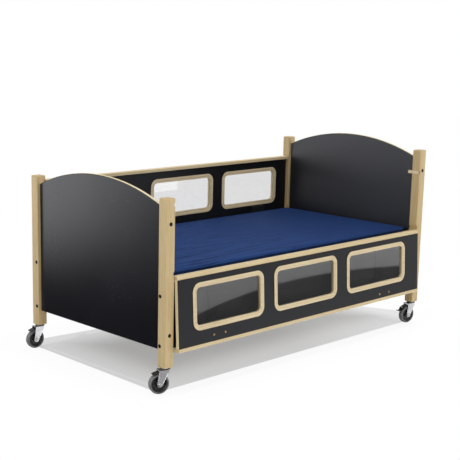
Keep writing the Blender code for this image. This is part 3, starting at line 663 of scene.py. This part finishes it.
def build_mattress(finish):
    """The mattress's cover, blown up over its foam and then rippled along its top."""
    s = sizes()
    low, high = (np.array(v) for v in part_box("mattress"))
    inset = np.array((0.004, 0.004, 0.003))
    points, quads = box_shell(COVER_CELLS)
    form = mattress_form(points, low + inset, high - inset, COVER_EDGE)
    cover = mesh_object("mattress_cover", form, quads, finish, smooth=False)
    blow_up(cover, s.swell)
    co = points_of(cover.data)
    middle = (low + high) / 2
    # The ripples fade in over the last stretch up to the top.
    up = np.clip((co[:, 2] - (high[2] - 0.03)) / 0.02, 0.0, 1.0)
    co[:, 2] += up * ripples(co[:, 0] - middle[0], co[:, 1] - middle[1], s.ripple)
    co = np.clip(co, low - 0.0005, high + 0.0005)
    cover.data.vertices.foreach_set("co", co.ravel())
    cover.data.shade_smooth()
    finer = cover.modifiers.new("finer", "SUBSURF")
    finer.levels = finer.render_levels = 1
    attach(cover, "bed_frame")
    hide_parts("mattress")
    build_seams(low, high, s.seam_cord, finish)


def build_seams(low, high, radius, finish):
    """Piped seams: a round cord carried round the mattress near its top and bottom edges."""
    inset, corner, middle = 0.006, 0.043, (low + high) / 2
    path = round_path(*(high - low)[:2] - 2 * inset, corner, steps=16)
    angle = circle(10)
    ring = np.stack([np.cos(angle), np.sin(angle)], -1) * radius
    quads = grid_quads(len(ring), len(path[0]), True, True)[:, ::-1]
    for name, height in (("top", high[2] - SEAM_DROP), ("bottom", low[2] + SEAM_DROP)):
        tube = along_path(path, ring) + np.array((middle[0], middle[1], height))
        piping = mesh_object(f"mattress_{name}_piping", tube, quads, finish, "bed_frame")


# Casters

TRAIL, WHEEL_RADIUS = 0.032, 0.050
# How far the legs' outer faces stand from the wheel's middle plane.
LEG_FACE = 0.0206
# The radius at which the tyre's black sides end and its grey tread starts.
TREAD_INNER = 0.0412


def in_metres(*section):
    """The points of a section that is given in millimetres."""
    return [(across / 1000, along / 1000) for across, along in section]


# Half sections of the wheel, as (radius, distance from its middle plane).
TYRE_SIDE = in_metres((37, 14), (41.2, 14), (45.5, 14), (50, 10))
TYRE_BORE = in_metres((37, -10.5), (37, 10.5))
DISC_SIDE = in_metres(
    (36.5, 12.5), (34.5, 13), (33, 11.8), (30.5, 9.5), (30, 7.8), (26.5, 7.2), (26, 8.8),
    (24.5, 8.8), (24, 7), (19, 6.6), (18.5, 8.6), (17, 8.6), (16.5, 7), (12.5, 8.5),
    (11.8, 17), (5.5, 17.6), (4.5, 17))
# Two pressed cups with the balls' line between them, as (radius, height over the floor).
HEAD_CUPS = in_metres(
    (23.5, 119.5), (24.5, 121.5), (24.5, 122.5), (23.5, 123.2), (24, 124), (24, 126.2),
    (22.2, 127.6), (12, 127.7), (12, 119.5))
# A domed nut and its washer, as (radius, distance from the wheel's middle plane).
AXLE_NUT = in_metres((0, 25.7), (2.8, 25.5), (4.5, 24.7), (5.2, 23.6), (6.8, 23.4), (8.4, 22.6),
                     (9, 21.2), (9, 20.6), (0, 20.6))
# A leg's edges: their names, tops and bottoms, as (distance along the trail, height).
LEG_EDGES = (("front", (-0.0105, 0.108), (0.0215, 0.043)),
             ("back", (0.0345, 0.108), (0.0440, 0.046)))


def mirrored(side):
    """Half a section, and then its mirror image back to where it started."""
    return side + [(r, -h) for r, h in reversed(side)]


def build_tyre(corner, axle, rubber, plastic):
    """A tyre turned from its section, black on its sides in as far as its grey tread."""
    section = rounded(mirrored(TYRE_SIDE) + TYRE_BORE, 0.0028, 5)
    tyre = lathe(corner + "_caster_tread", section[::-1], rubber, axle,
                 corner + "_caster_wheel", steps=96, ring=True)
    tyre.data.materials.append(plastic)
    faces = tyre.data.polygons
    centres = np.empty(len(faces) * 3)
    faces.foreach_get("center", centres)
    arms = centres.reshape(-1, 3) - np.array(axle.translation)
    reach = np.linalg.norm(np.cross(arms, np.array(axle.col[2].to_3d())), axis=1)
    faces.foreach_set("material_index", (reach < TREAD_INNER).astype(np.int32))
    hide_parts(corner + "_caster_tyre")


def build_disc(corner, axle, plastic):
    """A wheel's disc, turned with its rings and its hub."""
    hub = lathe(corner + "_caster_disc", mirrored(DISC_SIDE)[::-1], plastic, axle,
                corner + "_caster_wheel", steps=96, ring=True)
    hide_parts(corner + "_caster_hub")


def build_leg_rims(corner, place, steel):
    """Raised rims on a fork's legs: an oval tube along each edge that thins to both ends."""
    steps, sides, radius, widening = 24, 10, 0.0011, 1.4
    t = np.linspace(0.0, 1.0, steps)[:, None]
    thick = radius * np.sin(math.pi * np.clip(t * 1.04 - 0.02, 0.0, 1.0)) ** 0.35 + 1e-5
    angle = circle(sides)
    quads = grid_quads(steps, sides, False, True)
    for name, side in (("near", 1), ("far", -1)):
        for edge, top, bottom in LEG_EDGES:
            line = np.linspace(top, bottom, steps)
            x = line[:, :1] + thick * np.cos(angle) * widening
            y = side * (LEG_FACE + thick * np.sin(angle))
            points = np.stack(np.broadcast_arrays(x, y, line[:, 1:]), -1)
            rib = mesh_object(f"{corner}_caster_leg_{name}_{edge}_rim", through(place, points),
                              quads if side > 0 else quads[:, ::-1], steel,
                              corner + "_caster_swivel")


def build_caster(corner, rubber, plastic, steel, dark):
    """A wheel's tyre and disc, and the swivel head, axle nuts and rims of its fork."""
    place = caster_frame(corner)
    swivel = corner + "_caster_swivel"
    axle = (place @ Matrix.Translation((TRAIL, 0.0, WHEEL_RADIUS))
            @ Matrix.Rotation(-math.pi / 2, 4, "X"))
    build_tyre(corner, axle, rubber, plastic)
    build_disc(corner, axle, plastic)
    cups = rounded(HEAD_CUPS, 0.0006, 3)
    head = lathe(corner + "_caster_head", cups[::-1], dark, place, swivel, steps=64, ring=True)
    for name, out in (("near", axle), ("far", axle @ Matrix.Rotation(math.pi, 4, "X"))):
        nut = lathe(f"{corner}_caster_axle_{name}_boss", AXLE_NUT[::-1], steel, out, swivel,
                    steps=40)
    build_leg_rims(corner, place, steel)


# Bolts and screws

# A head's depth, and how far a screw's stands off, so that it shows.
HEAD_DEPTH, SCREW_PROUD = 0.0045, 0.0002
BOLT_STEM, BOLT_PROUD = 0.0068, 0.0010
# The end bolts: how far they lie from the bed's middle, and their heights.
RAIL_LINE, RAIL_BOLTS = 0.490, (0.233, 0.474)
# The side bolts: one's height, and how far the other lies under the post's top.
SIDE_BOLT, TOP_BOLT = 0.287, 0.119
PANEL_HEIGHT = 0.367
# Along a panel from its end, and how far behind its face.
CAP_SCREWS, CAP_MIDDLE = (0.058, 0.5125, 0.967, 1.4215, 1.876), -0.019
# Low on the board, two near each end, as (distance along the panel, height from its top).
BOARD_SCREWS = ((0.235, -0.318), (0.314, -0.318), (1.566, -0.325), (1.653, -0.325))


def fastener(name, place, axis, radius, depth, socket, finish, body, stem=None):
    """A turned screw or bolt head with a rounded rim and a hollow socket, on a stem."""
    stem = stem or radius
    profile = [(0.0, -depth), (socket, -depth), (socket * 1.02, -0.0002), (socket * 1.15, 0.0),
               (radius * 0.80, 0.0), (radius * 0.96, -0.0003), (radius, -0.0008),
               (stem, -0.0009), (stem, -HEAD_DEPTH), (0.0, -HEAD_DEPTH)]
    return lathe(name, profile, finish, looking_along(axis, place), body, steps=24)


def build_post_bolts(corner, black):
    """Four bolt heads that stand a little proud of a post's outer faces."""
    low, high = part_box(corner + "_post")
    middle = (low + high) / 2
    sx = -1 if corner.startswith("foot") else 1
    sy = -1 if corner.endswith("front") else 1
    end_x = (high.x if sx > 0 else low.x) + sx * BOLT_PROUD
    side_y = (high.y if sy > 0 else low.y) + sy * BOLT_PROUD
    places = [((end_x, SHIFT.y + sy * RAIL_LINE, z), (sx, 0, 0)) for z in RAIL_BOLTS]
    places += [((middle.x, side_y, z), (0, sy, 0)) for z in (SIDE_BOLT, high.z - TOP_BOLT)]
    for number, (place, axis) in enumerate(places, 1):
        bolt = fastener(f"{corner}_post_bolt_{number}", place, axis, sizes().bolt_radius, 0.003,
                        0.0028, black, "bed_frame", BOLT_STEM)


def build_panel_screws(side, brass, brown):
    """Brown screws along a side panel's caps, and brass ones in its board."""
    s = sizes()
    matrix = panel_frame(side)
    up, out = matrix.col[1].to_3d(), matrix.col[2].to_3d()
    for number, x in enumerate(CAP_SCREWS, 1):
        for edge, y, turn in (("top", 0.0, 1), ("bottom", -PANEL_HEIGHT, -1)):
            place = matrix @ Vector((x, y + turn * SCREW_PROUD, CAP_MIDDLE))
            screw = fastener(f"{side}_{edge}_cap_screw_{number}", place, up * turn,
                             s.cap_screw, 0.0020, 0.0018, brown, side + "_panel")
    for number, (x, y) in enumerate(BOARD_SCREWS, 1):
        place = matrix @ Vector((x, y, 0.0003))
        screw = fastener(f"{side}_board_screw_{number}", place, out, s.board_screw, 0.0020,
                         0.0018, brass, side + "_panel")


def build_keeper_screw(end, brass):
    """The screw in the face of a keeper that looks along the bed."""
    low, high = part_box(end + "_front_keeper")
    sx = 1 if end == "foot" else -1
    face = high.x if sx > 0 else low.x
    middle = (low + high) / 2
    place = (face + sx * SCREW_PROUD, middle.y + 0.008, middle.z)
    pin = fastener(end + "_front_keeper_screw", place, (sx, 0, 0), sizes().keeper_screw, 0.002,
                   0.0014, brass, "bed_frame")


# Studio

REACH = 40.0
# The second floor colour is a darker base inside the shadow's outline: painted shadow.
FLOOR_WHITE, PAINTED_SHADOW_GREY = (0.895, 0.92, 0.95, 1.0), (0.60, 0.62, 0.64, 1.0)
WORLD_LOW, WORLD_HIGH = 0.72, 0.78
CURVE_LEVEL, CURVE_MIDDLE, CURVE_BEND = -0.140, 0.81, 2.02
NEAR_GLOW, PATCH_GLOW, SHINE_LEVEL = 0.26, 4.8, 2.8
# The painted floor shadow's five edges: each one's outward direction, and how far out it lies.
FOOTPRINT = ((-0.9999, 0.0149, 1.0154), (-0.003, -1.0, 0.4772), (0.9169, 0.3991, 0.944),
             (0.1118, 0.9937, 0.5169), (0.806, -0.591, 1.138))
# The share of the floor inside the shadow's outline that shows its painted shadow grey.
PAINTED_SHADOW_SHARE = 0.6


def reflected_glow(x, height):
    """What glossy surfaces see, by a direction's part along the bed and its part upwards."""
    # The side boards see directions towards the head: dark, a bright patch, pale past a curve.
    past = height - (CURVE_LEVEL - (CURVE_MIDDLE - x) ** 2.0 * CURVE_BEND)
    pale = past.ramp(-0.0015, 0.0015) * (0.95 + past * 14.0)
    patch = height.ramp(-0.20, -0.27) * x.ramp(0.65, 0.73) * x.ramp(0.83, 0.76)
    near = NEAR_GLOW + patch * PATCH_GLOW
    side = near + pale.maths("MINIMUM", pale, 1.5) * height.ramp(-0.11, -0.02, 1.0, 0.25)
    # The end panels see those towards the foot: pale over the skyline, brightest straight out.
    end = height.ramp(-0.04, 0.03, 0.02, 1.0) * height.ramp(0.35, 0.7, 1.0, 0.5)
    end = end * x.ramp(-0.67, -0.74, 1.0, 5.0)
    return end + (x > 0.0) * (side - end)


def world_light():
    """White where the camera sees it, patterned in reflections, and a plain fill elsewhere."""
    world = bpy.data.worlds.new("studio")
    world.use_nodes = True
    bpy.context.scene.world = world
    tree = world.node_tree
    tree.nodes.clear()
    way = signals(tree, "ShaderNodeTexCoord", "Generated")[0]
    seen, pane, shiny, depth = signals(tree, "ShaderNodeLightPath", "Is Camera Ray",
                                       "Is Transmission Ray", "Is Glossy Ray", "Glossy Depth")
    bounced = depth > 0.5
    gloss = (shiny + pane * bounced).clamped()
    height = way.axis(2)
    glow = reflected_glow(way.axis(0), height)
    fill = height.ramp(-0.2, 0.6, WORLD_LOW, WORLD_HIGH)
    direct = (seen + pane * (1 - bounced)).clamped()
    strength = direct + (1 - direct) * (gloss * glow + (1 - gloss) * fill)
    shade = way.node("ShaderNodeBackground", {"Color": (1, 1, 1, 1), "Strength": strength})
    out = tree.nodes.new("ShaderNodeOutputWorld")
    tree.links.new(shade.socket, out.inputs["Surface"])


def sheet(name, low, high, material):
    """A flat piece of the studio that faces up, between two corners."""
    (x0, y0, z), (x1, y1, _) = low, high
    corners = np.array([(x0, y0, z), (x1, y0, z), (x1, y1, z), (x0, y1, z)], dtype=float)
    return mesh_object(name, corners, np.array([[0, 1, 2, 3]]), material, smooth=False)


def shine_card():
    """A glow on the ground past the foot's back corner, seen in reflections alone."""
    material = bpy.data.materials.new("shine_card")
    material.use_nodes = True
    tree = material.node_tree
    tree.nodes.clear()
    place = signals(tree, "ShaderNodeTexCoord", "Object")[0]
    x, y = place.axis(0) + 1.0, place.axis(1) - 0.3
    away, across = y * 0.78 - x * 0.62, x * 0.78 + y * 0.62
    opening = across + (away - 5.0).at_least(0.0) * 0.12
    share = opening.ramp(-1.1, 0.5) * away.ramp(1.5, 4.8)
    clear = place.node("ShaderNodeBsdfTransparent")
    glow = place.node("ShaderNodeEmission", {"Strength": SHINE_LEVEL})
    mix = place.node("ShaderNodeMixShader", {0: share, 1: clear, 2: glow})
    out = tree.nodes.new("ShaderNodeOutputMaterial")
    tree.links.new(mix.socket, out.inputs["Surface"])
    card = sheet("shine_card", (-REACH, 0.8, 0.0), (-1.1, REACH, 0.0), material)
    card.visible_camera = card.visible_diffuse = card.visible_shadow = False
    card.visible_transmission = False
    card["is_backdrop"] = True


def floor_finish():
    """White outside the shadow's outline; inside it, partly lit with its real shadow and partly
    a painted shadow: a darker base colour and a set grey glow.

    How far a point lies outside is the largest of its distances past the outline's edges.
    """
    material, shader, place = new_finish("studio_floor", FLOOR_WHITE, 1.0,
                                         Specular_IOR_Level=0.0)
    tree = place.tree
    seen = signals(tree, "ShaderNodeLightPath", "Is Camera Ray")[0]
    x, y = place.axis(0) - SHIFT.x, place.axis(1) - SHIFT.y
    away, *others = [x * along + y * up - reach for along, up, reach in FOOTPRINT]
    for past in others:
        away = away.at_least(past)
    outside = away > 0.0
    # Painted shadow: the base colour is darker inside the outline.
    feed(shader, "Base Color", outside.blend(PAINTED_SHADOW_GREY, FLOOR_WHITE))
    share = PAINTED_SHADOW_SHARE + outside * (away.ramp(0.0, 0.35, 0.90, 1.0) - PAINTED_SHADOW_SHARE)
    # Painted shadow: a grey glow inside the outline, darker deeper in and lighter towards the
    # head end.
    grey = away.ramp(-0.36, -0.07, 0.56, 0.83) + x.ramp(0, 0.7, 0, 0.12)
    glow = place.node("ShaderNodeEmission", {"Color": grey + outside * (1.0 - grey)})
    lit = Signal(tree, shader.outputs[0])
    mix = place.node("ShaderNodeMixShader", {0: share * seen, 1: lit, 2: glow})
    tree.links.new(mix.socket, tree.nodes["Material Output"].inputs["Surface"])
    return material


def lamp(name, kind, power, place, aim, **settings):
    """A lamp that shines from a place towards a point."""
    data = bpy.data.lights.new(name, kind)
    data.energy = power
    put(data, settings)
    obj = new_object(name, data)
    obj.location = place
    obj.rotation_euler = (Vector(aim) - Vector(place)).to_track_quat("-Z", "Y").to_euler()


PHOTO_WIDTH, FOCAL_PIXELS = 460.0, 1054.611
CAMERA_PLACE = (-4.23521, -4.01885, 1.65996)


def build_camera():
    """The photograph's viewpoint, fitted to the corners of the bed."""
    yaw, pitch, roll = 0.75686, 0.19985, 0.01547
    forward = Vector((math.sin(yaw) * math.cos(pitch), math.cos(yaw) * math.cos(pitch),
                      -math.sin(pitch)))
    level = Vector((math.cos(yaw), -math.sin(yaw), 0.0))
    up = level.cross(forward)
    right = math.cos(roll) * level + math.sin(roll) * up
    data = bpy.data.cameras.new("camera")
    data.sensor_width = 36.0
    data.lens = FOCAL_PIXELS * 36.0 / PHOTO_WIDTH
    data.shift_x, data.shift_y = 0.10870, 0.04448
    matrix = Matrix((right, right.cross(forward), -forward)).transposed().to_4x4()
    matrix.translation = Vector(CAMERA_PLACE) + SHIFT
    camera = new_object("camera", data)
    camera.matrix_world = matrix
    bpy.context.scene.camera = camera


# Operators

class SafetyBedOperator:
    """Shared settings of the operators."""

    bl_options = {"REGISTER", "UNDO"}


class SAFETYBED_OT_timber(SafetyBedOperator, bpy.types.Operator):
    """Give the posts, caps and deck their timber, and the battens their black runners"""

    bl_idname = "safety_bed.timber"
    bl_label = "Timber"

    def execute(self, context):
        upright = wood_finish("upright_timber", 2, hue("wood_pale"), hue("wood_dark"))
        pale, dark = hue("cap_pale"), hue("cap_dark")
        lengthwise = wood_finish("lengthwise_timber", 0, pale, dark)
        across = wood_finish("crosswise_timber", 1, pale, dark)
        dress(upright, *[corner + "_post" for corner in CORNERS])
        dress(lengthwise, "front_panel_top_cap", "back_panel_top_cap", "deck_board",
              "front_deck_ledger", "back_deck_ledger")
        for side in SIDES:
            shod = wood_finish(side + "_shod_timber", 0, pale, dark, shod_side=side)
            dress(shod, side + "_panel_bottom_cap")
        runner = plastic_finish("runner_plastic", (0.004, 0.004, 0.004, 1.0), 0.7,
                                Specular_IOR_Level=0.1)
        dress(runner, *[f"{side}_{end}_batten" for side in SIDES for end in ENDS])
        dress(across, "deck_bearer")
        light = wood_finish("keeper_timber", 1, hue("edge_pale"), hue("frame_pale"))
        dress(light, "foot_front_keeper", "head_front_keeper")
        return {"FINISHED"}


class SAFETYBED_OT_boards(SafetyBedOperator, bpy.types.Operator):
    """Give the end panels, side boards and rails their black laminate and ply edges"""

    bl_idname = "safety_bed.boards"
    bl_label = "Laminated boards"

    def execute(self, context):
        black, edges = hue("laminate"), (hue("edge_pale"), hue("edge_dark"))
        tinted = toned(black, END_TINT)
        for end, gloss in (("foot", 0.24), ("head", 0.42)):
            panel = laminate_finish(end + "_panel_laminate", 0, gloss, 0.5, tinted, *edges)
            dress(panel, end + "_panel")
        board = laminate_finish("side_board_laminate", 1, 0.30, 0.2, black, *edges)
        dress(board, "front_panel_board", "back_panel_board")
        rail = laminate_finish("rail_laminate", 1, 0.4, 0.1, black, *edges)
        dress(rail, "front_rail", "back_rail")
        return {"FINISHED"}


class SAFETYBED_OT_windows(SafetyBedOperator, bpy.types.Operator):
    """Build the six stepped timber window frames and give the panes their acrylic"""

    bl_idname = "safety_bed.windows"
    bl_label = "Windows"

    def execute(self, context):
        timber = wood_finish("window_timber", 0, hue("frame_pale"), hue("frame_dark"), 0.40)
        clear = pane_finish()
        for side in SIDES:
            for number in (1, 2, 3):
                build_frame(side, number, timber)
                dress(clear, f"{side}_window_pane_{number}")
        return {"FINISHED"}


class SAFETYBED_OT_mattress(SafetyBedOperator, bpy.types.Operator):
    """Build the mattress's blown-up cover and its piped seams"""

    bl_idname = "safety_bed.mattress"
    bl_label = "Mattress"

    def execute(self, context):
        build_mattress(cover_finish(hue("cover")))
        return {"FINISHED"}


class SAFETYBED_OT_casters(SafetyBedOperator, bpy.types.Operator):
    """Build the wheels, heads and fork rims of the four casters"""

    bl_idname = "safety_bed.casters"
    bl_label = "Casters"

    def execute(self, context):
        rubber = plastic_finish("tyre_rubber", hue("tyre"), 0.62, scale=300.0)
        plastic = plastic_finish("caster_plastic", hue("plastic"), 0.42)
        steel = metal_finish("fork_steel", hue("steel"), 0.30)
        dark = metal_finish("head_steel", (0.09, 0.09, 0.095, 1.0), 0.42)
        for corner in CORNERS:
            build_caster(corner, rubber, plastic, steel, dark)
            dress(steel, corner + "_caster_fork", corner + "_caster_axle")
            dress(plastic, corner + "_caster_guard")
        dress(plastic, "head_front_caster_brake_lever", "head_back_caster_brake_lever")
        return {"FINISHED"}


class SAFETYBED_OT_fasteners(SafetyBedOperator, bpy.types.Operator):
    """Build the bolt heads in the posts and the screws in the panels"""

    bl_idname = "safety_bed.fasteners"
    bl_label = "Bolts and screws"

    def execute(self, context):
        black = plastic_finish("black_bolt", (0.003, 0.003, 0.003, 1.0), 0.6,
                               Specular_IOR_Level=0.12)
        brass = metal_finish("brass_screw", hue("brass"), 0.38, metallic=0.4)
        brown = metal_finish("brown_screw", hue("screw"), 0.45, metallic=0.4)
        for corner in CORNERS:
            build_post_bolts(corner, black)
        for side in SIDES:
            build_panel_screws(side, brass, brown)
        for end in ENDS:
            build_keeper_screw(end, brass)
        return {"FINISHED"}


class SAFETYBED_OT_stage(SafetyBedOperator, bpy.types.Operator):
    """Build the studio's floor, lamps, world and camera"""

    bl_idname = "safety_bed.stage"
    bl_label = "Studio"

    def execute(self, context):
        context.scene.view_settings.view_transform = "Standard"
        floor = sheet("floor", (-REACH, -REACH, 0.0), (REACH, REACH, 0.0), floor_finish())
        floor.location.z = -0.0005
        floor.visible_glossy = floor.visible_transmission = False
        floor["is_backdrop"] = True
        world_light()
        shine_card()
        # The overhead sun casts the real crisp shadow under the bed; the floor adds a painted
        # shadow inside its outline.
        lamp("overhead", "SUN", 0.9, (0, 0, 6), (0, 0, 0), angle=math.radians(2.0))
        lamp("front_soft", "AREA", 158.0, (3.6, -9.5, 5.9), (0.0, -0.5, 0.5), size=7.0)
        build_camera()
        return {"FINISHED"}


class SAFETYBED_PT_pieces(bpy.types.Panel):
    """Lists the bed's pieces, sizes and colours"""

    bl_idname = "SAFETYBED_PT_pieces"
    bl_label = "Safety bed"
    bl_space_type = "VIEW_3D"
    bl_region_type = "UI"
    bl_category = "Safety bed"

    def draw(self, context):
        column = self.layout.column(align=True)
        for operator in OPERATORS:
            column.operator(operator.bl_idname)
        for group in (context.scene.safety_bed_finishes, sizes()):
            column.separator()
            for name in group.__annotations__:
                column.prop(group, name)


OPERATORS = (SAFETYBED_OT_timber, SAFETYBED_OT_boards, SAFETYBED_OT_windows,
             SAFETYBED_OT_mattress, SAFETYBED_OT_casters, SAFETYBED_OT_fasteners,
             SAFETYBED_OT_stage)
CLASSES = (SafetyBedFinishes, SafetyBedSizes, *OPERATORS, SAFETYBED_PT_pieces)


def register():
    for cls in CLASSES:
        bpy.utils.register_class(cls)
    scene = bpy.types.Scene
    scene.safety_bed_finishes = bpy.props.PointerProperty(type=SafetyBedFinishes)
    scene.safety_bed_sizes = bpy.props.PointerProperty(type=SafetyBedSizes)


def unregister():
    del bpy.types.Scene.safety_bed_finishes
    del bpy.types.Scene.safety_bed_sizes
    for cls in reversed(CLASSES):
        bpy.utils.unregister_class(cls)


def main():
    """Build every piece in order."""
    def corners():
        return [[float(v) for v in corner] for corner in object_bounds()]

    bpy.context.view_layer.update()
    register()
    for operator in OPERATORS:
        group, name = operator.bl_idname.split(".")
        getattr(getattr(bpy.ops, group), name)()


if __name__ == "__main__":
    main()
